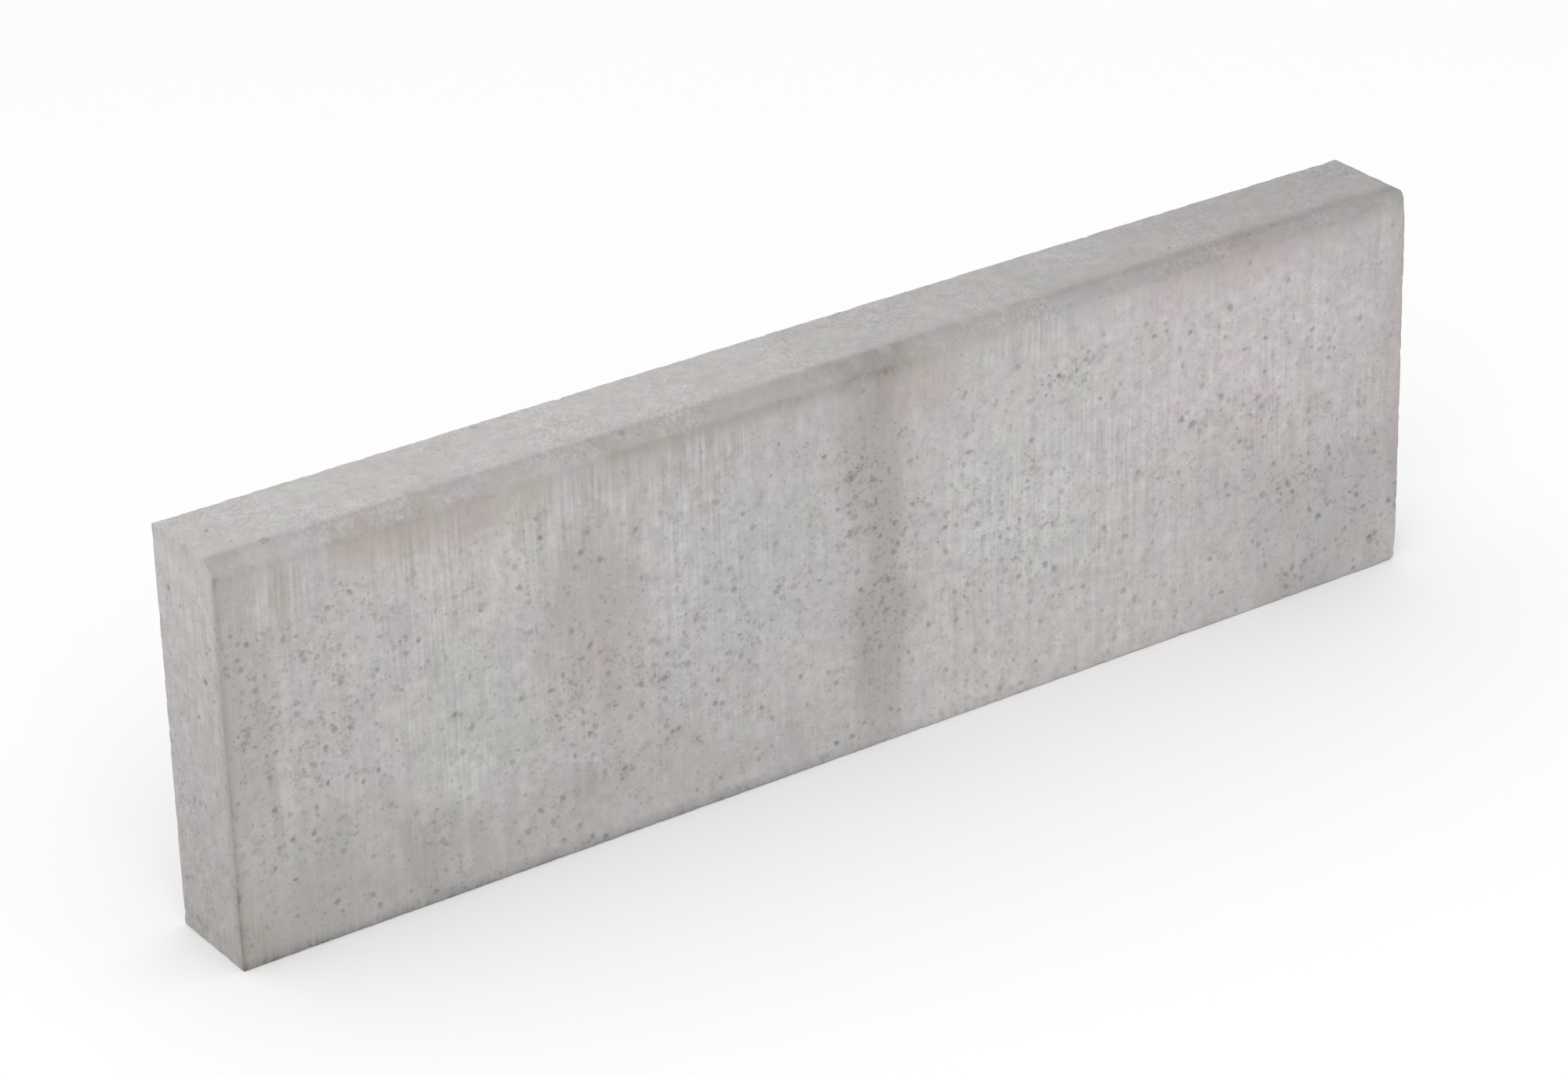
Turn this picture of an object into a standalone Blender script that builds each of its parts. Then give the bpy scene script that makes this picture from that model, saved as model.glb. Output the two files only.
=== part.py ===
"""Precast concrete kerb slab, laid on edge, with one chamfered arris along its head.

The block is cast upright in one mould from two mixes. The coarse base mix fills the mould first. The
fine face mix goes in on top of it, and the tamper shoe presses it into the head and its chamfer.

Frame: metres, +Z up. The origin is the middle of the bedding face. +X runs along the kerb, and -Y is
the front, the side that has the chamfer.
"""

import bmesh
import bpy

# Driving dimensions of the whole block.
LENGTH = 1.000
HEIGHT = 0.300
THICKNESS = 0.080

# The chamfer along the front of the head: how far it runs back and how far it drops down the front.
CHAMFER_RUN = 0.013
CHAMFER_DROP = 0.008

# How deep the face mix lies below the head, and the clearance that the two solids keep at their joint.
FACING_DEPTH = 0.022
LAYER_GAP = 0.0003

# Rounding that the mould leaves on the upright corners and on the other arrises of the head.
CORNER_RADIUS = 0.0025
CORNER_SEGMENTS = 3

FRONT_Y = -THICKNESS / 2
BACK_Y = THICKNESS / 2
LAYER_Z = HEIGHT - FACING_DEPTH
TOLERANCE = 1e-5

COLLECTION_NAME = "kerb_slab"


def clear_scene():
    """Remove every object that the file opened with."""
    for obj in list(bpy.data.objects):
        bpy.data.objects.remove(obj, do_unlink=True)


def make_collection():
    """Make the collection that holds the block's parts."""
    collection = bpy.data.collections.new(COLLECTION_NAME)
    bpy.context.scene.collection.children.link(collection)
    return collection


def concrete(name, colour, roughness):
    """Make a plain concrete material of one colour and roughness."""
    material = bpy.data.materials.new(name)
    material.use_nodes = True
    shader = material.node_tree.nodes["Principled BSDF"]
    shader.inputs["Base Color"].default_value = (*colour, 1.0)
    shader.inputs["Roughness"].default_value = roughness
    shader.inputs["Metallic"].default_value = 0.0
    return material


def slab_mesh(low_z, high_z):
    """Make a block of the kerb's full length and thickness between two heights."""
    mesh = bmesh.new()
    bmesh.ops.create_cube(mesh, size=1.0)
    bmesh.ops.scale(mesh, vec=(LENGTH, THICKNESS, high_z - low_z), verts=mesh.verts)
    bmesh.ops.translate(mesh, vec=(0.0, 0.0, (low_z + high_z) / 2), verts=mesh.verts)
    return mesh


def at(value, target):
    """Say whether a coordinate lies on a plane."""
    return abs(value - target) < TOLERANCE


def cut_chamfer(mesh):
    """Slice the front arris of the head away along the chamfer's plane and close the cut."""
    cut = bmesh.ops.bisect_plane(
        mesh,
        geom=mesh.verts[:] + mesh.edges[:] + mesh.faces[:],
        plane_co=(0.0, FRONT_Y + CHAMFER_RUN, HEIGHT),
        plane_no=(0.0, -CHAMFER_DROP, CHAMFER_RUN),
        clear_outer=True,
    )
    rim = [item for item in cut["geom_cut"] if isinstance(item, bmesh.types.BMEdge)]
    bmesh.ops.contextual_create(mesh, geom=rim)


def soften(mesh, wanted):
    """Round the edges that the test picks, as worn mould corners leave them."""
    edges = [edge for edge in mesh.edges if wanted(edge)]
    bmesh.ops.bevel(
        mesh,
        geom=edges,
        offset=CORNER_RADIUS,
        offset_type="OFFSET",
        segments=CORNER_SEGMENTS,
        profile=0.5,
        affect="EDGES",
    )


def is_upright_corner(edge):
    """Pick the four vertical corners of the block."""
    a, b = (vertex.co for vertex in edge.verts)
    at_end = at(abs(a.x), LENGTH / 2) and at(abs(b.x), LENGTH / 2)
    on_side = at(abs(a.y), THICKNESS / 2) and at(a.y, b.y)
    return at_end and on_side


def is_back_arris(edge):
    """Pick the arris between the head and the back."""
    return all(at(vertex.co.z, HEIGHT) and at(vertex.co.y, BACK_Y) for vertex in edge.verts)


def add_part(collection, name, mesh, material):
    """Turn a working mesh into a named object with one material."""
    bmesh.ops.recalc_face_normals(mesh, faces=mesh.faces)
    data = bpy.data.meshes.new(name)
    mesh.to_mesh(data)
    mesh.free()
    data.materials.append(material)
    data.shade_smooth()
    data.set_sharp_from_angle(angle=0.5)
    part = bpy.data.objects.new(name, data)
    collection.objects.link(part)
    return part


def add_backing(collection):
    """Add the base mix: everything below the layer joint, down to the bedding face."""
    mesh = slab_mesh(0.0, LAYER_Z - LAYER_GAP)
    soften(mesh, is_upright_corner)
    add_part(collection, "backing_concrete", mesh, concrete("base_mix", (0.46, 0.44, 0.43), 0.9))


def add_facing(collection):
    """Add the face mix: the head of the block, with its chamfer along the front."""
    mesh = slab_mesh(LAYER_Z, HEIGHT)
    cut_chamfer(mesh)
    soften(mesh, lambda edge: is_upright_corner(edge) or is_back_arris(edge))
    add_part(collection, "facing_layer", mesh, concrete("face_mix", (0.52, 0.50, 0.48), 0.85))


def main():
    clear_scene()
    collection = make_collection()
    add_backing(collection)
    add_facing(collection)


main()
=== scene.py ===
"""Looks of the precast concrete kerb slab: its worn, pitted and stained skin, the floor, light and camera.

Everything is in metres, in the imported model's frame: +X along the kerb, -Y the chamfered front, +Z up.
Two detailed pieces stand for the two CAD solids, and meet along the uneven joint between the two mixes.
Each flat side is meshed by Delaunay triangulation, with rings of points round every air void. The skin is
then rounded, dented and chipped. Only the chamfer's run-out swells outwards, and nothing passes the CAD box.
"""

import functools
import math

import bmesh
import bpy
import numpy as np
from mathutils import Matrix, Vector
from mathutils.geometry import delaunay_2d_cdt


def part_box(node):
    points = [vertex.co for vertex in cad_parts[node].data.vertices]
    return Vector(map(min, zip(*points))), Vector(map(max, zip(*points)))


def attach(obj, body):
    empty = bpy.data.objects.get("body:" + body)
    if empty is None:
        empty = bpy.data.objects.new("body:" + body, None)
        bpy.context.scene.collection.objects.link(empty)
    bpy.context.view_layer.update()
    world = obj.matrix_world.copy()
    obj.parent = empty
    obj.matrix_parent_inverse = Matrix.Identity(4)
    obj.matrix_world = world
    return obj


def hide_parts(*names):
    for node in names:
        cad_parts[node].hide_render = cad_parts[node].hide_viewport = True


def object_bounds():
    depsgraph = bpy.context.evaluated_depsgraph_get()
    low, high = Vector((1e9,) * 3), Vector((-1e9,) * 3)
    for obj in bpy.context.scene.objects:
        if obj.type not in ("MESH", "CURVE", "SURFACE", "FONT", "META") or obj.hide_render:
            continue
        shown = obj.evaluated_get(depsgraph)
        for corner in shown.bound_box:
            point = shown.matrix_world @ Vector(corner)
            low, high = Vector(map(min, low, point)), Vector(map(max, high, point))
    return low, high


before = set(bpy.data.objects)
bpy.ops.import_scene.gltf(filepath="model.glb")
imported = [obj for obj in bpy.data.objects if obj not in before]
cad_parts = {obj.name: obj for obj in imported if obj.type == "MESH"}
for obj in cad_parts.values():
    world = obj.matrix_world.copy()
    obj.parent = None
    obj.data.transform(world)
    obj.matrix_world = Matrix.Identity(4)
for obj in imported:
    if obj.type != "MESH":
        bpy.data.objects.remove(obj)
cad_low, cad_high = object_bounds()

MM = 0.001

# The slab's planes, read from the CAD solids.
X0, Y0, Z0 = cad_low
X1, Y1, Z1 = cad_high
LENGTH, _, HEIGHT = cad_high - cad_low
SEAM_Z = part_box("facing_layer")[0].z
FACING = [vertex.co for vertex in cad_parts["facing_layer"].data.vertices]
CHAMFER_Y = min(co.y for co in FACING if co.z > Z1 - 0.01 * MM)
CHAMFER_Z = max(co.z for co in FACING if co.y < Y0 + 0.01 * MM)

# How far the joint between the mixes wanders up and down, and how long its waves are.
SEAM_WANDER = 3 * MM
SEAM_WAVE = 45 * MM

# Mesh: the spacing of the points along the arrises and along the joint, the rows of points beside each arris,
# how far the inner points keep from the joint, and the finest spacing that the mesh needs.
ARRIS_PITCH = 1.7 * MM
SEAM_PITCH = 2.5 * MM
WEAR_ROWS = tuple(MM * row for row in (0.4, 0.9, 1.5, 2.3, 3.4, 5.0))
CLEAR_OF_SEAM = 1.2 * MM
FINEST = 0.3 * MM

# The flat points that close each mix at the joint: their distance from the sides, and their spacing.
CAP_MARGIN = 8 * MM
CAP_PITCH_ALONG = 10 * MM
CAP_PITCH_ACROSS = 8 * MM

# Points that lie on the same spot to this many decimals are one point.
SAME_SPOT = 7

# Wear: the rounding of the arrises, the extra rounding of the right-hand end and of the chamfer's lip, the
# dents of the sides, and how many passes the rounding takes to settle where arrises meet.
ARRIS_ROUND = 1.1 * MM
ARRIS_RAGGED = 1.5 * MM
RIGHT_ROUND = 2.6 * MM
LIP_ROUND = 3.0 * MM
DENT = 0.35 * MM
ROUNDING_PASSES = 8

# The waves of the wear: the ragged rounding, the drag marks (long waves up the sides) and the soft hollows.
RAGGED_WAVE = 9 * MM
DRAG_WAVE = (7 * MM, 7 * MM, 160 * MM)
HOLLOW_WAVE = 40 * MM

# Chips: the smallest and largest radius, and how much darker they are painted.
CHIP_SMALL = 1.1 * MM
CHIP_LARGE = 3.0 * MM
CHIP_DARKENING = 0.5

# The chamfer runs out before the right-hand end: how far its plane swells out there, over what stretch, and
# how deep under the plane the swelling fades.
RUN_OUT = 5.2 * MM
RUN_OUT_STRETCH = 55 * MM
RUN_OUT_REACH = 12 * MM

# Voids: the smallest and largest radius, and how fast large ones get rare. They are shallow for their width.
VOID_SMALL = 1.3 * MM
VOID_LARGE = 3.0 * MM
VOID_RARITY = 2.3
VOID_SHALLOW = 0.20
VOID_DEEP = 0.42

# The outline of a void: the narrowest for its length, and how far its lobes leave the oval.
VOID_NARROW = 0.55
VOID_LOBES = 0.16

# The corners of each ring of a void, which are fewer below a certain radius.
FEW_CORNERS = 8
MANY_CORNERS = 11
FEW_BELOW = 1.5 * MM

# The voids get denser between these two depths below the head, and above them the concrete is nearly closed.
CLOSED_DEPTH = 26 * MM
OPEN_DEPTH = 60 * MM

# The voids cluster on the front. The other sides count as clustered this much all over, and the left end as
# not clustered at all.
EVEN_CLUSTER = 0.35

# A void this deep is painted at its darkest: dirt and painted shade in its hollow.
DARKEST_DEPTH = 0.8 * MM

# Each void keeps a circle of this many of its radii to itself, clear of the arrises and of the other circles.
VOID_ROOM = 1.75

# While a side is triangulated its straight edges bow inwards by this much, so that no sliver joins them.
BOW = 0.02 * MM

# Points this near the plane of the front, of the left end or of the chamfer count as lying on it. The top of
# the back is as high as the chamfer, but deeper.
FRONT_SKIN = 5 * MM
LEFT_SKIN = 1 * MM
CHAMFER_SKIN = 8 * MM

# Starting values of the random draws: the voids of each mix, and the chips.
BASE_SEED = 91
HEAD_SEED = 92
CHIP_SEED = 81


# ---------------------------------------------------------------- noise and fields


def smooth_noise(points, cell, seed):
    """Value noise from 0 to 1 at each point. The cell, in metres, may differ along each axis."""
    size = 48
    table = np.random.default_rng(seed).random((size, size, size))
    place = np.asarray(points) / np.asarray(cell)
    low = np.floor(place).astype(int)
    part = place - low
    part = part * part * (3 - 2 * part)
    total = np.zeros(len(place))
    for corner in np.ndindex(2, 2, 2):
        index = (low + corner) % size
        weight = np.where(corner, part, 1 - part).prod(axis=1)
        total += weight * table[tuple(index.T)]
    return total


def fractal_noise(points, cell, seed):
    """Three octaves of value noise, from 0 to 1."""
    octaves = [smooth_noise(points, np.asarray(cell) / 2**step, seed + step) for step in range(3)]
    return (octaves[0] * 4 + octaves[1] * 2 + octaves[2]) / 7


def ramp(value, start, end):
    """Rise smoothly from 0 at start to 1 at end."""
    share = np.clip((value - start) / (end - start), 0, 1)
    return share * share * (3 - 2 * share)


def bell(value, centre, width):
    """A soft bump of height 1 at centre."""
    return np.exp(-(((value - centre) / width) ** 2))


def seam_height(points):
    """The height of the joint between the mixes above each point of the plan."""
    flat = np.array(points, float)
    flat[:, 2] = 0
    return SEAM_Z + SEAM_WANDER * (2 * smooth_noise(flat, SEAM_WAVE, 5) - 1)


def patch(points, along, up, half_along, half_up, edge=0.5):
    """1 inside a ragged oval of the front and 0 outside. Lengths are shares of the length and height."""
    share_along = (points[:, 0] - X0) / LENGTH
    share_up = (points[:, 2] - Z0) / HEIGHT
    broad = fractal_noise(points, 45 * MM, 21) - 0.5
    streaky = fractal_noise(points, (9 * MM, 9 * MM, 50 * MM), 24) - 0.5
    distance = np.hypot((share_along - along) / half_along, (share_up - up) / half_up)
    return ramp(distance + edge * (broad + streaky), 1.35, 0.35)


# ---------------------------------------------------------------- the slab's planes and sides


def plane(normal, point):
    """An inward unit normal and the plane's offset along it."""
    normal = np.array(normal, float)
    normal /= np.linalg.norm(normal)
    return normal, normal @ np.array(point, float)


# How far the chamfer runs back across the head, and how far it drops down the front.
RUN = CHAMFER_Y - Y0
DROP = Z1 - CHAMFER_Z

# The slab's sides as planes that face inwards.
PLANES = {
    "left": plane((1, 0, 0), (X0, 0, 0)),
    "right": plane((-1, 0, 0), (X1, 0, 0)),
    "front": plane((0, 1, 0), (0, Y0, 0)),
    "back": plane((0, -1, 0), (0, Y1, 0)),
    "bed": plane((0, 0, 1), (0, 0, Z0)),
    "head": plane((0, 0, -1), (0, 0, Z1)),
    "chamfer": plane((0, DROP, -RUN), (0, Y0, CHAMFER_Z)),
}


def depth_below(name, points):
    """How deep each point lies inside the slab from one of its planes."""
    normal, offset = PLANES[name]
    return points @ normal - offset


def seam_corner(x, y):
    """The point of the joint above one corner of the plan."""
    return (x, y, float(seam_height([(x, y, 0)])[0]))


# The slab's corners at the bed, at the joint, at the lip and the brow of the chamfer, and at the back of the
# head. In the keys, f is front, b back, l left and r right.
BED = {"fl": (X0, Y0, Z0), "fr": (X1, Y0, Z0), "br": (X1, Y1, Z0), "bl": (X0, Y1, Z0)}
SEAM = {key: seam_corner(x, y) for key, (x, y, _) in BED.items()}
LIP = {"fl": (X0, Y0, CHAMFER_Z), "fr": (X1, Y0, CHAMFER_Z)}
BROW = {"fl": (X0, CHAMFER_Y, Z1), "fr": (X1, CHAMFER_Y, Z1)}
TOP = {"br": (X1, Y1, Z1), "bl": (X0, Y1, Z1)}

# Each side's corners, counter-clockwise from outside, starting with a straight edge.
BASE_SIDES = {
    "front": [BED["fl"], BED["fr"], SEAM["fr"], SEAM["fl"]],
    "right": [BED["fr"], BED["br"], SEAM["br"], SEAM["fr"]],
    "back": [BED["br"], BED["bl"], SEAM["bl"], SEAM["br"]],
    "left": [BED["bl"], BED["fl"], SEAM["fl"], SEAM["bl"]],
    "bed": [BED["fl"], BED["bl"], BED["br"], BED["fr"]],
}
HEAD_SIDES = {
    "front": [LIP["fr"], LIP["fl"], SEAM["fl"], SEAM["fr"]],
    "chamfer": [LIP["fl"], LIP["fr"], BROW["fr"], BROW["fl"]],
    "head": [BROW["fl"], BROW["fr"], TOP["br"], TOP["bl"]],
    "right": [TOP["br"], BROW["fr"], LIP["fr"], SEAM["fr"], SEAM["br"]],
    "back": [TOP["bl"], TOP["br"], SEAM["br"], SEAM["bl"]],
    "left": [BROW["fl"], TOP["bl"], SEAM["bl"], SEAM["fl"], LIP["fl"]],
}

# The spacing of the inner points along a side and up it.
INNER_PITCH = {
    "front": (2.5 * MM, 5.3 * MM),
    "back": (6.5 * MM, 9.5 * MM),
    "left": (3.5 * MM, 5.0 * MM),
    "right": (3.5 * MM, 5.0 * MM),
    "bed": (8.0 * MM, 8.0 * MM),
    "head": (3.5 * MM, 3.0 * MM),
    "chamfer": (2.4 * MM, 2.0 * MM),
}

# How many voids are tried on each side of each mix.
BASE_VOIDS = {"front": 2300, "back": 1500, "left": 160, "right": 260, "bed": 260}
HEAD_VOIDS = {"front": 60, "back": 80, "left": 8, "right": 10, "head": 160, "chamfer": 40}


# ---------------------------------------------------------------- voids

# Densely pitted places on the front, as shares of the length and height: centre, half size and weight.
PITTED = (
    (0.06, 0.63, 0.075, 0.22, 0.8),
    (0.28, 0.38, 0.06, 0.17, 0.8),
    (0.41, 0.42, 0.06, 0.18, 0.9),
    (0.52, 0.55, 0.04, 0.34, 0.8),
    (0.64, 0.45, 0.065, 0.18, 1.0),
    (0.68, 0.80, 0.035, 0.06, 0.9),
    (0.82, 0.52, 0.06, 0.14, 0.7),
    (0.93, 0.22, 0.075, 0.20, 0.7),
)

# Single large voids on the front: share of the length, share of the height, radius.
LANDMARK_VOIDS = (
    (0.248, 0.434, 2.6 * MM),
    (0.258, 0.462, 2.2 * MM),
    (0.392, 0.376, 2.9 * MM),
    (0.321, 0.765, 2.2 * MM),
    (0.099, 0.568, 2.0 * MM),
    (0.196, 0.690, 2.1 * MM),
    (0.060, 0.282, 2.2 * MM),
    (0.304, 0.173, 2.0 * MM),
    (0.578, 0.510, 2.3 * MM),
    (0.627, 0.485, 2.2 * MM),
    (0.598, 0.732, 2.1 * MM),
    (0.679, 0.806, 2.0 * MM),
    (0.868, 0.310, 2.6 * MM),
    (0.878, 0.383, 2.1 * MM),
    (0.917, 0.090, 2.5 * MM),
    (0.966, 0.180, 2.4 * MM),
)


def pitting(points):
    """How pitted the surface is, from 0 to 1: dense in places on the front, nearly closed under the head."""
    clusters = np.zeros(len(points))
    for along, up, half_along, half_up, weight in PITTED:
        clusters = np.maximum(clusters, weight * patch(points, along, up, half_along, half_up))
    clusters = np.where(depth_below("front", points) < FRONT_SKIN, clusters, EVEN_CLUSTER)
    clusters = np.where(depth_below("left", points) < LEFT_SKIN, 0, clusters)
    patchy = 0.35 + 0.65 * ramp(fractal_noise(points, 22 * MM, 31), 0.38, 0.62)
    opened = ramp(Z1 - points[:, 2], CLOSED_DEPTH, OPEN_DEPTH)
    return np.clip((0.28 + 0.62 * clusters) * patchy * (0.08 + 0.92 * opened), 0, 1)


def void_radii(count, random):
    """Radii that follow a power law: many small ones and few large ones."""
    share = random.random(count)
    rarest = (VOID_SMALL / VOID_LARGE) ** VOID_RARITY
    return VOID_SMALL * (1 - share * (1 - rarest)) ** (-1 / VOID_RARITY)


def scatter_voids(side, count, random):
    """Places and sizes of a side's voids: the landmarks first, then random ones where the side is pitted."""
    centres, radii = side.random_points(count, random), void_radii(count, random)
    chosen = random.random(count) < pitting(centres)
    centres, radii = centres[chosen], radii[chosen]
    if side.name == "front" and side.has_bed:
        marks = [(X0 + along * LENGTH, Y0, Z0 + up * HEIGHT) for along, up, _ in LANDMARK_VOIDS]
        centres = np.vstack([marks, centres])
        radii = np.concatenate([[radius for _, _, radius in LANDMARK_VOIDS], radii])
    kept_centres, kept_radii = [], []
    for centre, radius in zip(centres, radii):
        if not side.inside(centre[None], VOID_ROOM * radius + FINEST)[0]:
            continue
        if kept_radii:
            gaps = np.linalg.norm(np.array(kept_centres) - centre, axis=1)
            if (gaps < VOID_ROOM * (np.array(kept_radii) + radius)).any():
                continue
        kept_centres.append(centre)
        kept_radii.append(radius)
    return kept_centres, kept_radii


# A void's rings: share of its radius, share of its depth, and how dark it is painted there, with dirt and
# painted shade. The first ring lies on the clean surface round the void.
RINGS = ((1.5, 0.0, 0.0), (1.0, 0.0, 0.5), (0.76, 0.5, 0.8), (0.40, 0.9, 1.0))


def void_points(side, centre, radius, random):
    """Rings of points round one void with their depths and how dark they are painted (dirt and painted
    shade), and a last point in the middle.
    """
    corners = FEW_CORNERS if radius < FEW_BELOW else MANY_CORNERS
    squeeze = random.uniform(VOID_NARROW, 1.0)
    turn = random.uniform(0, math.pi)
    lobes = random.uniform(-VOID_LOBES, VOID_LOBES, 3)
    lobe_turns = random.uniform(0, 2 * math.pi, 3)
    depth = radius * random.uniform(VOID_SHALLOW, VOID_DEEP)
    full = min(1, depth / DARKEST_DEPTH)
    places, depths, darkening = [], [], []
    for step, (share, share_deep, darker) in enumerate(RINGS):
        angles = 2 * math.pi * (np.arange(corners) + 0.5 * step) / corners
        outline = 1 + sum(
            size * np.cos((order + 2) * angles + lobe_turn)
            for order, (size, lobe_turn) in enumerate(zip(lobes, lobe_turns))
        )
        reach = share * radius * outline
        long, short = reach * np.cos(angles), reach * np.sin(angles) * squeeze
        along = long * math.cos(turn) - short * math.sin(turn)
        up = long * math.sin(turn) + short * math.cos(turn)
        places.append(centre + np.stack([along, up], axis=1) @ side.axes)
        depths.append(np.full(corners, share_deep * depth))
        darkening.append(np.full(corners, darker * full))
    places.append(centre[None])
    depths.append([depth])
    darkening.append([full])
    return np.vstack(places), np.concatenate(depths), np.concatenate(darkening)


# ---------------------------------------------------------------- meshing one side


class Side:
    """One flat side of one mix: its outline, and the points that mesh it."""

    def __init__(self, name, corners):
        self.name = name
        self.corners = [np.array(corner, float) for corner in corners]
        self.inward = PLANES[name][0]
        first = self.corners[1] - self.corners[0]
        along = first / np.linalg.norm(first)
        self.axes = np.stack([along, np.cross(-self.inward, along)])
        heights = [corner[2] for corner in self.corners]
        self.has_bed = min(heights) <= Z0
        self.is_upright = max(heights) > Z0
        self.neighbours = [other for other in PLANES if other != name]

    def inside(self, points, margin):
        """Which points lie on the side, at least a margin from its arrises and from the joint."""
        clear = np.ones(len(points), bool)
        for other in self.neighbours:
            clear &= depth_below(other, points) >= margin
        if self.is_upright:
            above = points[:, 2] - seam_height(points)
            clear &= (-above if self.has_bed else above) >= max(margin, CLEAR_OF_SEAM)
        return clear

    def spans(self):
        """The lowest and highest place of the corners along the side's two axes."""
        flat = np.array(self.corners) @ self.axes.T
        return flat.min(axis=0), flat.max(axis=0)

    def at(self, flat):
        """Points of the side at places along its two axes."""
        origin = self.inward * PLANES[self.name][1]
        return flat @ self.axes + origin

    def random_points(self, count, random):
        """Random points over the side's extent, some of which may lie outside its outline."""
        low, high = self.spans()
        return self.at(random.uniform(low, high, (count, 2)))

    def inner_grid(self):
        """Staggered points over the middle of the side."""
        low, high = self.spans()
        pitch_along, pitch_up = INNER_PITCH[self.name]
        along = np.arange(low[0], high[0], pitch_along)
        up = np.arange(low[1], high[1], pitch_up)
        grid = np.stack(np.meshgrid(along, up), axis=-1)
        grid[1::2, :, 0] += pitch_along / 2
        points = self.at(grid.reshape(-1, 2))
        return points[self.inside(points, WEAR_ROWS[-1] + pitch_along / 2)]

    def outline(self):
        """The points of the outline, in order."""
        closed = self.corners + self.corners[:1]
        return np.vstack([edge_points(start, end)[:-1] for start, end in zip(closed, closed[1:])])

    def wear_rows(self):
        """Rows of points beside each arris, where the rounding needs them."""
        rows = []
        closed = self.corners + self.corners[:1]
        for start, end in zip(closed, closed[1:]):
            if is_seam(start, end):
                continue
            along = edge_points(start, end)
            towards = np.cross(-self.inward, (end - start) / np.linalg.norm(end - start))
            between = (along[1:] + along[:-1]) / 2
            for step, offset in enumerate(WEAR_ROWS):
                points = (between if step % 2 else along) + towards * offset
                rows.append(points[self.inside(points, 0.8 * WEAR_ROWS[0])])
        return thinned(np.vstack(rows))

    def mesh(self, voids, random):
        """Points, depths below the side, how dark the voids are painted (dirt and painted shade) and
        triangles.
        """
        rim = self.outline()
        filler = np.vstack([self.wear_rows(), self.inner_grid()])
        hollows = [void_points(self, centre, radius, random) for centre, radius in zip(*voids)]
        for centre, radius in zip(*voids):
            filler = filler[np.linalg.norm(filler - centre, axis=1) > VOID_ROOM * radius + 0.1 * MM]
        flat = np.zeros(len(rim) + len(filler))
        points = np.vstack([rim, filler] + [places for places, _, _ in hollows])
        depths = np.concatenate([flat] + [deep for _, deep, _ in hollows])
        darkening = np.concatenate([flat] + [darker for _, _, darker in hollows])
        return points, depths, darkening, triangulated(points @ self.axes.T, len(rim))


def triangulated(flat, rim_count):
    """Delaunay triangles over flat points, the first of which are the outline in counter-clockwise order."""
    bowed = np.array(flat, float)
    rim = bowed[:rim_count]
    ahead = np.roll(rim, -1, axis=0) - rim
    behind = rim - np.roll(rim, 1, axis=0)
    turn = ahead[:, 0] * behind[:, 1] - ahead[:, 1] * behind[:, 0]
    lengths = np.linalg.norm(ahead, axis=1) * np.linalg.norm(behind, axis=1)
    corners = np.flatnonzero(np.abs(turn) > 0.5 * lengths)
    for start, end in zip(corners, np.append(corners[1:], corners[0] + rim_count)):
        steps = np.arange(start + 1, end)
        share = (steps - start) / (end - start)
        chord = rim[end % rim_count] - rim[start]
        inward = np.array([-chord[1], chord[0]]) / np.linalg.norm(chord)
        bowed[steps % rim_count] += BOW * 4 * (share * (1 - share))[:, None] * inward
    bowed /= MM
    found = delaunay_2d_cdt([Vector(place) for place in bowed], [], [list(range(rim_count))], 1, 1e-9, True)
    source = np.array([origins[0] for origins in found[3]])
    triangles = source[np.array(found[2])]
    # Triangles outside the outline may be left. They join points of the outline only, so those are tested.
    doubtful = np.flatnonzero((triangles < rim_count).all(axis=1))
    outside = ~encloses(bowed[:rim_count], bowed[triangles[doubtful]].mean(axis=1))
    return np.delete(triangles, doubtful[outside], axis=0)


def encloses(rim, places):
    """Which places a closed outline goes round, by counting how often a ray from each crosses it."""
    following = np.roll(rim, -1, axis=0)
    rise = following[:, 1] - rim[:, 1]
    slope = np.divide(following[:, 0] - rim[:, 0], rise, out=np.zeros(len(rim)), where=rise != 0)
    across, up = places[:, :1], places[:, 1:]
    straddles = (rim[:, 1] > up) != (following[:, 1] > up)
    ahead = rim[:, 0] + (up - rim[:, 1]) * slope > across
    return (straddles & ahead).sum(axis=1) % 2 == 1


def is_seam(start, end):
    """Whether an edge of a side runs along the joint between the mixes."""
    ends = {tuple(start), tuple(end)}
    return ends <= set(SEAM.values())


def edge_points(start, end):
    """Evenly spaced points along an edge, the same from either direction."""
    low, high = sorted((tuple(start), tuple(end)))
    on_seam = is_seam(start, end)
    pitch = SEAM_PITCH if on_seam else ARRIS_PITCH
    count = max(2, round(math.dist(low, high) / pitch))
    points = np.array(low) + (np.array(high) - np.array(low)) * np.linspace(0, 1, count + 1)[:, None]
    if on_seam:
        points[:, 2] = seam_height(points)
    return points if low == tuple(start) else points[::-1]


def thinned(points):
    """One point out of each cluster that is tighter than the mesh needs."""
    _, first = np.unique(np.round(points / FINEST).astype(int), axis=0, return_index=True)
    return points[np.sort(first)]


# ---------------------------------------------------------------- wear


def wear_radius(points):
    """How far each arris is rounded: a little, raggedly, and more at the right-hand end and at the lip."""
    ragged = ARRIS_RAGGED * ramp(fractal_noise(points, RAGGED_WAVE, 41), 0.35, 0.85)
    right = ramp(depth_below("right", points), 25 * MM, 0) * ramp(depth_below("front", points), 30 * MM, 0)
    foot = bell(points[:, 2], Z0, 22 * MM)
    lip = bell(np.hypot(points[:, 1] - Y0, points[:, 2] - CHAMFER_Z), 0, 8 * MM)
    return ARRIS_ROUND + ragged + RIGHT_ROUND * right * (0.2 + 0.8 * foot) + LIP_ROUND * lip


def run_out(points):
    """How far the chamfer's plane swells out towards the right-hand end."""
    return RUN_OUT * ramp(depth_below("right", points), RUN_OUT_STRETCH, 0)


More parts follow.
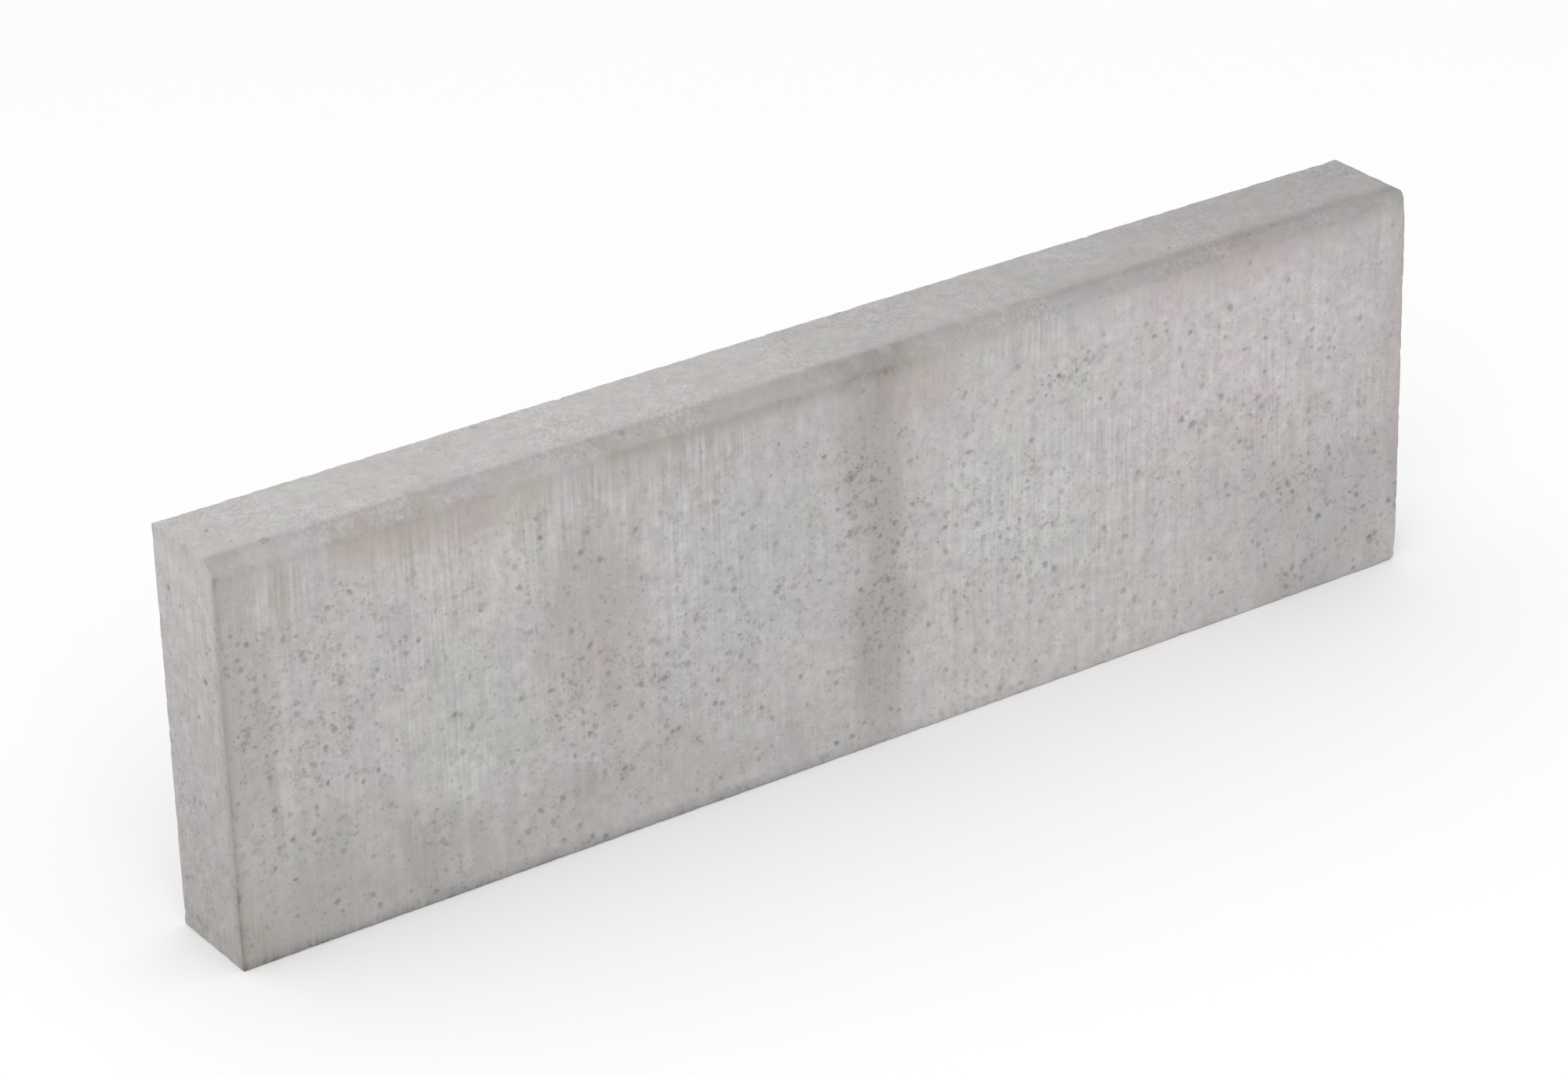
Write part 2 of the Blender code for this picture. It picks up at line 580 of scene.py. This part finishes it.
def swollen(points):
    """Points of the sharp slab, shifted out near the chamfer where it runs out."""
    share = np.clip(1 - depth_below("chamfer", points) / RUN_OUT_REACH, 0, 1)
    shifted = points - (run_out(points) * share)[:, None] * PLANES["chamfer"][0]
    return np.clip(shifted, np.array(cad_low), np.array(cad_high))


def rounded(points):
    """Points of the sharp slab moved onto its rounded skin, with the skin's outward directions."""
    radius = wear_radius(points)
    points = swollen(points)
    spare = {"chamfer": run_out(points)}
    core = points.copy()
    for _ in range(ROUNDING_PASSES):
        for name, (normal, _) in PLANES.items():
            depth = depth_below(name, core) + spare.get(name, 0)
            core += np.maximum(radius - depth, 0)[:, None] * normal
    outward = points - core
    outward /= np.linalg.norm(outward, axis=1)[:, None]
    return core + outward * radius[:, None], outward


def dents(points):
    """How far the skin sinks below the true planes: long drag marks up the sides and soft hollows."""
    drag = smooth_noise(points, DRAG_WAVE, 51)
    soft = fractal_noise(points, HOLLOW_WAVE, 52)
    return DENT * (0.45 * drag + 0.55 * soft)


# How many chips each arris has.
CHIP_COUNTS = {
    (BED["fl"], LIP["fl"]): 34,
    (BED["fr"], LIP["fr"]): 12,
    (BED["br"], TOP["br"]): 10,
    (BED["bl"], TOP["bl"]): 10,
    (BED["fl"], BED["fr"]): 46,
    (BED["bl"], BED["br"]): 34,
    (TOP["bl"], TOP["br"]): 12,
    (BROW["fl"], BROW["fr"]): 12,
    (LIP["fl"], LIP["fr"]): 18,
    (BED["fl"], BED["bl"]): 5,
    (BED["fr"], BED["br"]): 5,
    (TOP["bl"], BROW["fl"]): 4,
    (TOP["br"], BROW["fr"]): 4,
}


def chip_list(random):
    """Chips along the arrises: centre, radius, and the direction and stretch of the arris."""
    middle = np.array([0, 0, (Z0 + Z1) / 2])
    chips = []
    for (start, end), count in CHIP_COUNTS.items():
        start, end = np.array(start, float), np.array(end, float)
        along = (end - start) / np.linalg.norm(end - start)
        for _ in range(count):
            place = start + (end - start) * random.uniform(0.01, 0.99)
            radius = CHIP_SMALL + (CHIP_LARGE - CHIP_SMALL) * random.random() ** 3
            outward = place - middle
            outward -= along * (outward @ along)
            outward /= np.linalg.norm(outward)
            centre = place + outward * radius * random.uniform(0.1, 0.45)
            stretch = random.uniform(1, 2)
            chips.append((centre, radius, along, stretch))
    return chips


def chip(skin, chips):
    """Press the skin back out of every chip, and say how far each point lies in one."""
    broken = np.zeros(len(skin))
    for centre, radius, along, stretch in chips:
        offset = skin - centre
        near = np.abs(offset).max(axis=1) < 1.3 * radius * stretch
        if not near.any():
            continue
        local = offset[near]
        slide = (local @ along)[:, None] * along
        local = local - slide + slide / stretch
        reach = np.linalg.norm(local, axis=1)
        rough = radius * (0.8 + 0.4 * smooth_noise(skin[near], 1.5 * MM, 61))
        cut = reach < rough
        pushed = local * (np.maximum(rough, reach) / np.maximum(reach, 1e-9))[:, None]
        slide = (pushed @ along)[:, None] * along
        skin[near] = centre + pushed - slide + slide * stretch
        broken[near] = np.maximum(broken[near], np.where(cut, 1 - reach / rough, 0))
    return broken


# ---------------------------------------------------------------- tones of the surface

# Stains and patches of the front and the chamfer. Each has its centre and half size, as shares of the length
# and the height, counted from the left end and the bed, and the colour that it multiplies the concrete by.
TONES = (
    ("damp band", 0.522, 0.52, 0.020, 0.80, (0.875, 0.867, 0.85)),
    ("edges of the band", 0.520, 0.68, 0.038, 0.50, (0.93, 0.925, 0.915)),
    ("brown stain", 0.280, 0.54, 0.048, 0.32, (0.90, 0.885, 0.865)),
    ("grey patch right of the band", 0.640, 0.50, 0.060, 0.24, (1.03, 1.055, 1.05)),
    ("blue-grey patch", 0.415, 0.52, 0.060, 0.24, (0.98, 1.0, 1.03)),
    ("pale patch", 0.345, 0.62, 0.025, 0.18, (1.05, 1.06, 1.075)),
    ("green-grey patch", 0.180, 0.42, 0.070, 0.20, (0.97, 1.01, 0.99)),
    ("lime bloom", 0.180, 0.30, 0.024, 0.08, (1.08, 1.08, 1.07)),
    ("pale field left of the stain", 0.205, 0.78, 0.055, 0.14, (1.07, 1.06, 1.05)),
    ("pink-grey field", 0.850, 0.68, 0.140, 0.34, (1.075, 1.045, 1.065)),
    ("dirty patch in the field", 0.835, 0.45, 0.055, 0.16, (0.95, 0.94, 0.93)),
    ("brown foot on the left", 0.055, 0.10, 0.120, 0.26, (0.87, 0.86, 0.83)),
    ("left margin", 0.000, 0.50, 0.032, 0.80, (0.91, 0.89, 0.86)),
    ("grey foot on the right", 0.930, 0.18, 0.110, 0.26, (0.91, 0.90, 0.90)),
    ("beige foot", 0.690, 0.12, 0.130, 0.18, (1.04, 1.03, 1.015)),
    ("foot left of the band", 0.300, 0.10, 0.170, 0.14, (0.945, 0.94, 0.93)),
    ("rust under the chamfer", 0.122, 0.935, 0.032, 0.05, (0.925, 0.86, 0.82)),
    ("olive streaks", 0.156, 0.93, 0.016, 0.07, (0.92, 0.905, 0.84)),
    ("red under the chamfer", 0.190, 0.92, 0.028, 0.06, (0.94, 0.88, 0.86)),
    ("right margin", 1.000, 0.62, 0.018, 0.42, (0.93, 0.90, 0.89)),
    ("moss under the chamfer", 0.238, 0.92, 0.030, 0.07, (0.94, 0.94, 0.88)),
    ("moss drip", 0.047, 0.90, 0.008, 0.09, (0.90, 0.89, 0.83)),
    ("dirt under the chamfer", 0.440, 0.97, 0.160, 0.035, (0.92, 0.91, 0.88)),
    ("rust beside the band", 0.565, 0.89, 0.040, 0.08, (0.95, 0.915, 0.895)),
    ("dirt beside the moss", 0.310, 0.93, 0.045, 0.06, (0.945, 0.935, 0.915)),
    ("rust on the right", 0.830, 0.94, 0.055, 0.06, (0.96, 0.92, 0.91)),
    ("mauve under the chamfer", 0.775, 0.90, 0.030, 0.06, (1.0, 0.98, 0.995)),
)

# What grime multiplies the concrete's colour by.
GRIME = (0.60, 0.575, 0.545)

# What the foot of the front multiplies it by: grey-blue damp and painted contact shade.
FOOT_DAMP_AND_SHADE_TINT = (0.72, 0.74, 0.77)

# What the tone of the ends multiplies it by. They are a little warmer than the front.
END_TINT = (1.0, 0.993, 0.987)

# How the brightness of each side changes: along the front, the head and the chamfer, and up the ends.
FRONT_DRIFT = ((0.0, 0.93), (0.12, 0.965), (0.45, 0.965), (0.60, 1.03), (0.80, 1.03), (1.0, 0.975))
HEAD_DRIFT = ((0.0, 1.04), (0.35, 1.03), (0.55, 0.945), (0.75, 0.893), (0.83, 0.855), (1.0, 0.80))
# The chamfer is painted darker than the other sides, most towards the right-hand end: painted shade of its
# slope.
CHAMFER_SHADE_DRIFT = (
    (0.0, 0.89),
    (0.25, 0.87),
    (0.4, 0.90),
    (0.55, 0.82),
    (0.65, 0.84),
    (0.8, 0.76),
    (1.0, 0.74),
)
END_DRIFT = ((0.0, 0.84), (0.35, 0.92), (0.70, 1.0), (0.93, 1.08), (1.0, 1.0))


def drift(share, stops):
    """A slow change of brightness through a few stops."""
    places, values = zip(*stops)
    return np.interp(share, places, values)


def side_weights(points):
    """How much each point belongs to the front, the chamfer, the head and the ends."""
    slope = math.hypot(RUN, DROP)
    climb = ((points[:, 1] - Y0) * RUN + (points[:, 2] - CHAMFER_Z) * DROP) / slope
    end = ramp(np.minimum(depth_below("left", points), depth_below("right", points)), 1.5 * MM, 0.1 * MM)
    chamfer = ramp(climb, -3 * MM, 4 * MM) * ramp(climb, slope + 3 * MM, slope - 2 * MM) * (1 - end)
    chamfer *= depth_below("chamfer", points) < CHAMFER_SKIN
    front = ramp(depth_below("front", points), 3 * MM, 0.2 * MM) * (1 - chamfer)
    head = ramp(depth_below("head", points), 1.0 * MM, 0.1 * MM) * (1 - end) * (1 - chamfer)
    return front, chamfer, head, end


def drips(points):
    """The dirt that the lip of the chamfer sheds down the front, in a band with a streaky lower edge."""
    below = np.maximum(CHAMFER_Z - points[:, 2], 0)
    along = (points[:, 0] - X0) / LENGTH
    fine = smooth_noise(points, (5 * MM, 1, 1), 71)
    broad = smooth_noise(points, (24 * MM, 1, 1), 72)
    length = MM * (4 + 14 * (0.5 * fine + 0.5 * broad))
    amount = 0.13 + 0.22 * bell(along, 0.48, 0.14) + 0.18 * ramp(along, 0.72, 0.86)
    return amount * np.exp(-below / length)


def arris_lines(points):
    """The dirt along the arrises of the chamfer and down the two upright corners of the front."""
    along = (points[:, 0] - X0) / LENGTH
    back = MM * (2.2 * ramp(along, 0.55, 0.85) - 0.8)
    brow = np.hypot(points[:, 1] - CHAMFER_Y - back, points[:, 2] - Z1 + 0.4 * MM)
    lip = np.hypot(points[:, 1] - Y0, points[:, 2] - CHAMFER_Z + 1.5 * MM)
    uneven = 0.35 + 1.3 * fractal_noise(points, 14 * MM, 73)
    brow_line = bell(brow, 0, 5.0 * MM) * (0.15 + 0.26 * ramp(along, 0.45, 0.9))
    lip_line = bell(lip, 0, 3.5 * MM) * (0.16 - 0.1 * ramp(along, 0.45, 0.8))
    behind = depth_below("front", points)
    left_line = 0.33 * bell(depth_below("left", points), 0, 4 * MM) * bell(behind, 0, 7.5 * MM)
    right_line = bell(depth_below("right", points), 0, 3 * MM) * bell(behind, 0, 2 * MM)
    right_line *= 0.15 + 0.4 * bell(points[:, 2], Z1, 20 * MM)
    return np.clip((brow_line + lip_line + left_line + right_line) * uneven, 0, 1)


def stains_and_shade(points):
    """The colour that the stains, the grime and the painted contact shade at the foot multiply the concrete
    by at each point.
    """
    front, chamfer, _, end = side_weights(points)
    colour = np.ones((len(points), 3))
    for _, along, up, half_along, half_up, tint in TONES:
        weight = (front + chamfer) * patch(points, along, up, half_along, half_up, edge=1.2)
        colour *= 1 + weight[:, None] * (np.array(tint) - 1)
    left = 1.2 - 0.9 * ramp((points[:, 0] - X0) / LENGTH, 0.35, 0.60)
    uneven = 0.4 + 1.2 * fractal_noise(points, 12 * MM, 74)
    # A narrow grey-blue band along the foot of the front, strongest at the left: damp and painted contact
    # shade.
    foot = front * left * bell(points[:, 2], Z0, 5.5 * MM) * uneven
    colour *= 1 + foot[:, None] * (np.array(FOOT_DAMP_AND_SHADE_TINT) - 1)
    colour *= 1 + end[:, None] * (np.array(END_TINT) - 1)
    grime = np.clip(drips(points) * front + arris_lines(points), 0, 1)
    return colour * (1 - grime[:, None] * (1 - np.array(GRIME)))


def drifts(points):
    """The slow changes of brightness along the sides, with the painted shade of the chamfer."""
    front, chamfer, head, end = side_weights(points)
    share_along = (points[:, 0] - X0) / LENGTH
    share_up = (points[:, 2] - Z0) / HEIGHT
    light = 1 + front * (drift(share_along, FRONT_DRIFT) - 1)
    light *= 1 + head * (drift(share_along, HEAD_DRIFT) - 1)
    # Painted shade on the chamfer.
    light *= 1 + chamfer * (drift(share_along, CHAMFER_SHADE_DRIFT) - 1)
    return light * (1 + end * (drift(share_up, END_DRIFT) - 1))


# ---------------------------------------------------------------- building a piece


def goes_round(edge):
    """Whether an edge of the joint runs counter-clockwise seen from above."""
    start, end = edge[0], edge[-1]
    return start[0] * end[1] - start[1] * end[0] > 0


def seam_rim(points, sides):
    """Which points lie along the joint, in order, counter-clockwise seen from above."""
    loop = []
    for name in ("front", "right", "back", "left"):
        start, end = (corner for corner in sides[name] if tuple(corner) in set(SEAM.values()))
        edge = edge_points(np.array(start), np.array(end))
        loop.append(edge if goes_round(edge) else edge[::-1])
    loop = np.vstack([edge[:-1] for edge in loop])
    lookup = {key: index for index, key in enumerate(map(tuple, np.round(points, SAME_SPOT)))}
    return np.array([lookup[tuple(key)] for key in np.round(loop, SAME_SPOT)])


def seam_cap(points, sides):
    """The points inside the joint, and the triangles that close a mix there."""
    rim = seam_rim(points, sides)
    along = np.arange(X0 + CAP_MARGIN, X1 - CAP_MARGIN, CAP_PITCH_ALONG)
    across = np.arange(Y0 + CAP_MARGIN, Y1 - CAP_MARGIN, CAP_PITCH_ACROSS)
    middle = np.stack(np.meshgrid(along, across), axis=-1).reshape(-1, 2)
    middle = np.column_stack([middle, np.zeros(len(middle))])
    middle[:, 2] = seam_height(middle)
    index = np.concatenate([rim, len(points) + np.arange(len(middle))])
    flat = np.vstack([points[rim], middle])[:, :2]
    return middle, index[triangulated(flat, len(rim))]


def joined_sides(sides, voids_tried, random):
    """Every side of a mix, joined along the arrises: points, depths, the voids' painted darkening, inward
    normals and triangles.
    """
    meshes, triangles = [], []
    total = 0
    for side_name, corners in sides.items():
        side = Side(side_name, corners)
        voids = scatter_voids(side, voids_tried[side_name], random)
        points, depths, darkening, side_triangles = side.mesh(voids, random)
        inwards = np.repeat(side.inward[None], len(points), axis=0)
        meshes.append((points, depths, darkening, inwards))
        triangles.append(side_triangles + total)
        total += len(points)
    points, depths, darkening, inwards = (np.concatenate(group) for group in zip(*meshes))
    spots = np.round(points, SAME_SPOT)
    _, first, merged = np.unique(spots, axis=0, return_index=True, return_inverse=True)
    triangles = merged.reshape(-1)[np.vstack(triangles)]
    return points[first], depths[first], darkening[first], inwards[first], triangles


def build_skin(name, sides, voids_tried, random):
    """Mesh a mix, wear its skin and close it at the joint."""
    points, depths, darkening, inwards, triangles = joined_sides(sides, voids_tried, random)
    middle, cap = seam_cap(points, sides)

    skin, outward = rounded(points)
    skin -= outward * dents(points)[:, None]
    skin += inwards * depths[:, None]
    broken = chip(skin, chip_list(np.random.default_rng(CHIP_SEED)))
    skin = np.clip(skin, np.array(cad_low), np.array(cad_high))

    inner = len(middle)
    values = {
        # How dark each point is painted: dirt and painted shade in the voids, and darker chips.
        "hollow": np.append(np.maximum(darkening, CHIP_DARKENING * broken), np.zeros(inner)),
        "pitting": np.append(pitting(points), np.zeros(inner)),
        "drift": np.append(drifts(points), np.ones(inner)),
    }
    colours = np.vstack([stains_and_shade(points), np.ones((inner, 3))])
    return finish_mesh(name, np.vstack([skin, middle]), np.vstack([triangles, cap]), values, colours)


# Edges between faces at a wider angle than this stay sharp.
SHARP_ANGLE = math.radians(38)


def finish_mesh(name, points, triangles, values, colours):
    """Make the mesh object, with its faces out, and store the values, and the stains with the painted shade
    at the foot, that its material reads.
    """
    data = bpy.data.meshes.new(name)
    data.from_pydata(points, [], triangles.tolist())
    for key, value in values.items():
        data.attributes.new(key, "FLOAT", "POINT").data.foreach_set("value", value.astype(np.float32))
    colouring = data.attributes.new("colouring", "FLOAT_VECTOR", "POINT")
    colouring.data.foreach_set("vector", (colours - 1).astype(np.float32).ravel())
    data.validate()
    piece = bpy.data.objects.new(name, data)
    bpy.context.scene.collection.objects.link(piece)
    turn_faces_out(data)
    data.shade_smooth()
    data.set_sharp_from_angle(angle=SHARP_ANGLE)
    return piece


def turn_faces_out(data):
    """Make every face look outwards."""
    work = bmesh.new()
    work.from_mesh(data)
    bmesh.ops.recalc_face_normals(work, faces=work.faces)
    work.to_mesh(data)
    work.free()


# ---------------------------------------------------------------- materials


class Nodes:
    """Short calls for the shader nodes that the concrete is made of."""

    def __init__(self, tree):
        self.tree = tree
        self.tree.nodes.clear()

    def add(self, kind, inputs=None, **settings):
        """Add a node, with its settings and with values or links for its inputs."""
        node = self.tree.nodes.new(kind)
        for key, value in settings.items():
            setattr(node, key, value)
        for key, value in (inputs or {}).items():
            self.set(node.inputs[key], value)
        return node

    def set(self, socket, value):
        """Link another node's output to a socket, or give the socket a value."""
        if isinstance(value, bpy.types.NodeSocket):
            self.tree.links.new(value, socket)
        else:
            socket.default_value = value

    def maths(self, operation, first, second):
        """One step of arithmetic on numbers."""
        return self.add("ShaderNodeMath", {0: first, 1: second}, operation=operation).outputs[0]

    def vectors(self, operation, first, second):
        """One step of arithmetic on vectors. SCALE takes a number second."""
        second_input = 3 if operation == "SCALE" else 1
        inputs = {0: first, second_input: second}
        return self.add("ShaderNodeVectorMath", inputs, operation=operation).outputs[0]

    def attribute(self, name, output="Fac"):
        """A value that is stored on the mesh's points."""
        return self.add("ShaderNodeAttribute", attribute_name=name).outputs[output]

    def place(self, scale):
        """The point on the piece, in metres, stretched along each axis."""
        return self.vectors("MULTIPLY", self.add("ShaderNodeTexCoord").outputs["Object"], scale)

    def noise(self, per_metre, detail=3.0, roughness=0.55, shift=0.0):
        """Noise from 0 to 1 with so many features a metre along each axis."""
        scale = per_metre if isinstance(per_metre, tuple) else (per_metre,) * 3
        moved = self.vectors("ADD", self.place(scale), (shift,) * 3)
        inputs = {"Vector": moved, "Scale": 1.0, "Detail": detail, "Roughness": roughness}
        return self.add("ShaderNodeTexNoise", inputs).outputs["Fac"]

    def hues(self, per_metre, amount):
        """A factor for each colour, round 1, that wanders on its own with so many features a metre."""
        inputs = {"Vector": self.place(per_metre), "Scale": 1.0, "Detail": 2.0, "Roughness": 0.6}
        wander = self.add("ShaderNodeTexNoise", inputs).outputs["Color"]
        return self.vectors("ADD", self.vectors("SCALE", wander, amount), (1 - amount / 2,) * 3)

    def step(self, value, start, end):
        """Rise smoothly from 0 at start to 1 at end."""
        inputs = {"Value": value, "From Min": start, "From Max": end}
        return self.add("ShaderNodeMapRange", inputs, interpolation_type="SMOOTHSTEP").outputs[0]

    def swing(self, value, amount):
        """Turn 0 to 1 into a factor round 1 that swings by the amount."""
        return self.maths("ADD", self.maths("MULTIPLY", value, amount), 1 - amount / 2)

    def shade(self, value, amount):
        """A factor that falls from 1 by the amount where the value is 1."""
        return self.maths("SUBTRACT", 1.0, self.maths("MULTIPLY", value, amount))

    def product(self, *values):
        """All the values multiplied together."""
        return functools.reduce(lambda first, second: self.maths("MULTIPLY", first, second), values)

    def total(self, *values):
        """All the values added together."""
        return functools.reduce(lambda first, second: self.maths("ADD", first, second), values)


def specks(nodes, per_metre, reach, share, shift):
    """Small round dots: 1 in the middle of the chosen cells of a Voronoi pattern, 0 elsewhere."""
    moved = nodes.vectors("ADD", nodes.place((per_metre,) * 3), (shift,) * 3)
    cells = nodes.add("ShaderNodeTexVoronoi", {"Vector": moved, "Scale": 1.0})
    dot = nodes.step(cells.outputs["Distance"], reach, reach * 0.45)
    parts = nodes.add("ShaderNodeSeparateColor", {0: cells.outputs["Color"]})
    chosen = nodes.maths("LESS_THAN", parts.outputs[0], share)
    return nodes.maths("MULTIPLY", dot, chosen)


def surface_marks(nodes):
    """The patterns that the colour and the relief of the concrete share."""
    pitted = nodes.attribute("pitting")
    up = nodes.add("ShaderNodeSeparateXYZ", {0: nodes.place((1, 1, 1))}).outputs["Z"]
    return {
        "pitted": pitted,
        "film": nodes.noise(24.0, detail=3.0, roughness=0.6),
        "cloud": nodes.noise(85.0, detail=4.0, roughness=0.78, shift=7.3),
        "sand": nodes.noise(850.0, detail=2.0, roughness=0.7, shift=3.1),
        "drag": nodes.noise((420.0, 420.0, 19.0), detail=2.0, roughness=0.6),
        "runs": nodes.noise((150.0, 150.0, 5.0), detail=3.0, roughness=0.6, shift=11.0),
        "freckle": nodes.step(nodes.noise(165.0, detail=3.0, roughness=0.65, shift=17.0), 0.46, 0.30),
        "pores": specks(nodes, 330.0, 0.42, nodes.maths("MULTIPLY", pitted, 0.6), 0.0),
        "pin_pores": specks(nodes, 700.0, 0.36, nodes.maths("MULTIPLY", pitted, 0.5), 5.0),
        "upper": nodes.total(
            0.32,
            nodes.maths("MULTIPLY", nodes.step(up, 0.10 * HEIGHT, 0.40 * HEIGHT), 0.62),
            nodes.maths("MULTIPLY", nodes.step(up, 0.78 * HEIGHT, 0.93 * HEIGHT), 0.8),
        ),
    }


def brightness(nodes, marks, grain, streak):
    """How bright the concrete is, as a factor: its grain, drag marks, specks, the slow drifts with the
    painted shade of the chamfer, and the voids darkened with dirt and painted shade.
    """
    patchy = nodes.noise(13.0, detail=1.0, shift=23.0)
    brushed = nodes.product(marks["upper"], nodes.step(patchy, 0.30, 0.70), 1.8)
    blots = specks(nodes, 105.0, 0.36, nodes.maths("MULTIPLY", marks["pitted"], 0.6), 13.0)
    bright = specks(nodes, 260.0, 0.25, 0.08, 9.0)
    return nodes.product(
        # The slow drifts, with the painted shade of the chamfer.
        nodes.attribute("drift"),
        nodes.swing(marks["film"], 0.16),
        nodes.swing(marks["cloud"], 0.66 * grain),
        nodes.swing(marks["sand"], 0.16 * grain),
        nodes.total(1.0, nodes.product(nodes.maths("SUBTRACT", marks["drag"], 0.5), brushed, streak)),
        nodes.total(1.0, nodes.product(nodes.maths("SUBTRACT", marks["runs"], 0.5), 0.7 * streak)),
        nodes.shade(marks["freckle"], nodes.total(nodes.maths("MULTIPLY", marks["pitted"], 0.31), 0.06)),
        nodes.shade(marks["pores"], 0.09),
        nodes.shade(blots, 0.22),
        nodes.shade(marks["pin_pores"], 0.06),
        # The voids' dirt and painted shade.
        nodes.shade(nodes.attribute("hollow"), 0.28),
        nodes.total(1.0, nodes.maths("MULTIPLY", bright, 0.10)),
    )


def paint(nodes, marks, value, colour):
    """The concrete's colour, with ragged stains, the painted contact shade at the foot, and a slow drift of
    hue.
    """
    ragged = nodes.total(
        -1.3,
        nodes.product(marks["drag"], 1.3),
        nodes.product(marks["runs"], 0.9),
        nodes.product(marks["cloud"], 2.4),
    )
    colouring = nodes.vectors("SCALE", nodes.attribute("colouring", "Vector"), ragged)
    tone = nodes.vectors("ADD", colouring, (1, 1, 1))
    shaded = nodes.vectors("SCALE", tone, value)
    hued = nodes.vectors("MULTIPLY", shaded, nodes.hues((34.0, 34.0, 24.0), 0.09))
    return nodes.vectors("MULTIPLY", hued, colour)


def relief(nodes, marks):
    """The bump of the sand, the drag marks and the small pores."""
    height = nodes.total(
        nodes.product(marks["sand"], 0.30),
        nodes.product(marks["cloud"], 0.45),
        nodes.product(marks["drag"], marks["upper"], 0.35),
        nodes.product(marks["freckle"], -0.25),
        nodes.product(marks["pores"], -0.9),
        nodes.product(marks["pin_pores"], -0.35),
    )
    return nodes.add("ShaderNodeBump", {"Height": height, "Distance": 0.6 * MM, "Strength": 0.8}).outputs[0]


def concrete(name, colour, grain, streak):
    """Weathered precast concrete: cement film, sand grain, drag marks, specks, stains, painted shade on the
    chamfer and at the foot, and voids darkened with dirt and painted shade.
    """
    material = bpy.data.materials.new(name)
    material.use_nodes = True
    nodes = Nodes(material.node_tree)
    marks = surface_marks(nodes)
    inputs = {
        "Base Color": paint(nodes, marks, brightness(nodes, marks, grain, streak), colour),
        "Roughness": nodes.maths("ADD", nodes.maths("MULTIPLY", marks["film"], 0.16), 0.78),
        "Normal": relief(nodes, marks),
        "Specular IOR Level": 0.3,
    }
    shader = nodes.add("ShaderNodeBsdfPrincipled", inputs)
    nodes.add("ShaderNodeOutputMaterial", {"Surface": shader.outputs[0]})
    return material


# ---------------------------------------------------------------- pieces, stage, light and camera


def make_base_mix():
    """The coarse mix below the joint, which stands for the CAD's backing."""
    base = build_skin("base_mix_block", BASE_SIDES, BASE_VOIDS, np.random.default_rng(BASE_SEED))
    base.data.materials.append(concrete("base_mix_concrete", (0.463, 0.444, 0.440), grain=1.0, streak=0.29))
    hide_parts("backing_concrete")
    return base


def make_face_mix():
    """The fine mix above the joint, with the chamfer, which stands for the CAD's facing."""
    head = build_skin("face_mix_head", HEAD_SIDES, HEAD_VOIDS, np.random.default_rng(HEAD_SEED))
    head.data.materials.append(concrete("face_mix_concrete", (0.463, 0.446, 0.440), grain=0.7, streak=0.26))
    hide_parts("facing_layer")
    return head


def make_pieces():
    """The two mixes. Neither moves, so both ride on the root body."""
    for piece in (make_base_mix(), make_face_mix()):
        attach(piece, "root")


FLOOR_RADIUS = 30


def make_floor():
    """A plain pale studio floor under the slab."""
    bpy.ops.mesh.primitive_circle_add(
        vertices=96, radius=FLOOR_RADIUS, fill_type="NGON", location=(0, 0, Z0)
    )
    floor = bpy.context.object
    floor.name = "studio_floor"
    material = bpy.data.materials.new("studio_floor")
    material.use_nodes = True
    shader = material.node_tree.nodes["Principled BSDF"]
    shader.inputs["Base Color"].default_value = (0.95, 0.95, 0.95, 1)
    shader.inputs["Roughness"].default_value = 0.9
    floor.data.materials.append(material)


# The light: the strength of the white surround, and the soft box's size, power and place. It faces the slab.
SURROUND = 0.98
SOFT_BOX_SIZE = 2.4
SOFT_BOX_POWER = 25
SOFT_BOX_PLACE = Vector((-1.6, -2.2, 3.0))


def make_light():
    """A bright, even surround with one large soft box above the front."""
    scene = bpy.context.scene
    scene.world = bpy.data.worlds.new("studio")
    scene.world.use_nodes = True
    surround = scene.world.node_tree.nodes["Background"]
    surround.inputs["Color"].default_value = (1, 1, 1, 1)
    surround.inputs["Strength"].default_value = SURROUND
    box = bpy.data.lights.new("soft_box", "AREA")
    box.size = SOFT_BOX_SIZE
    box.energy = SOFT_BOX_POWER
    lamp = bpy.data.objects.new("soft_box", box)
    lamp.location = SOFT_BOX_PLACE
    towards_slab = Vector((0, 0, (Z0 + Z1) / 2)) - SOFT_BOX_PLACE
    lamp.rotation_euler = towards_slab.to_track_quat("-Z", "Y").to_euler()
    scene.collection.objects.link(lamp)
    scene.view_settings.view_transform = "Standard"


# The camera looks at a point of the front, from the left and above, and leans over a little.
AIM = Vector((X0 + 0.4408 * LENGTH, Y0, Z0 + 0.622 * HEIGHT))
VIEW_AZIMUTH = math.radians(-34.33)
VIEW_ELEVATION = math.radians(26.25)
VIEW_ROLL = math.radians(-1.54)
VIEW_DISTANCE = 3.628
LENS = 121.3
SENSOR = 36.0


def make_camera():
    """The camera at the photograph's viewing angle."""
    camera = bpy.data.cameras.new("camera")
    camera.lens = LENS
    camera.sensor_width = SENSOR
    viewer = bpy.data.objects.new("camera", camera)
    back = Vector(
        (
            math.sin(VIEW_AZIMUTH) * math.cos(VIEW_ELEVATION),
            -math.cos(VIEW_AZIMUTH) * math.cos(VIEW_ELEVATION),
            math.sin(VIEW_ELEVATION),
        )
    )
    turn = (-back).to_track_quat("-Z", "Y").to_matrix().to_4x4() @ Matrix.Rotation(VIEW_ROLL, 4, "Z")
    viewer.matrix_world = Matrix.Translation(AIM + back * VIEW_DISTANCE) @ turn
    bpy.context.scene.collection.objects.link(viewer)
    bpy.context.scene.camera = viewer


make_camera()
make_light()
make_floor()
make_pieces()
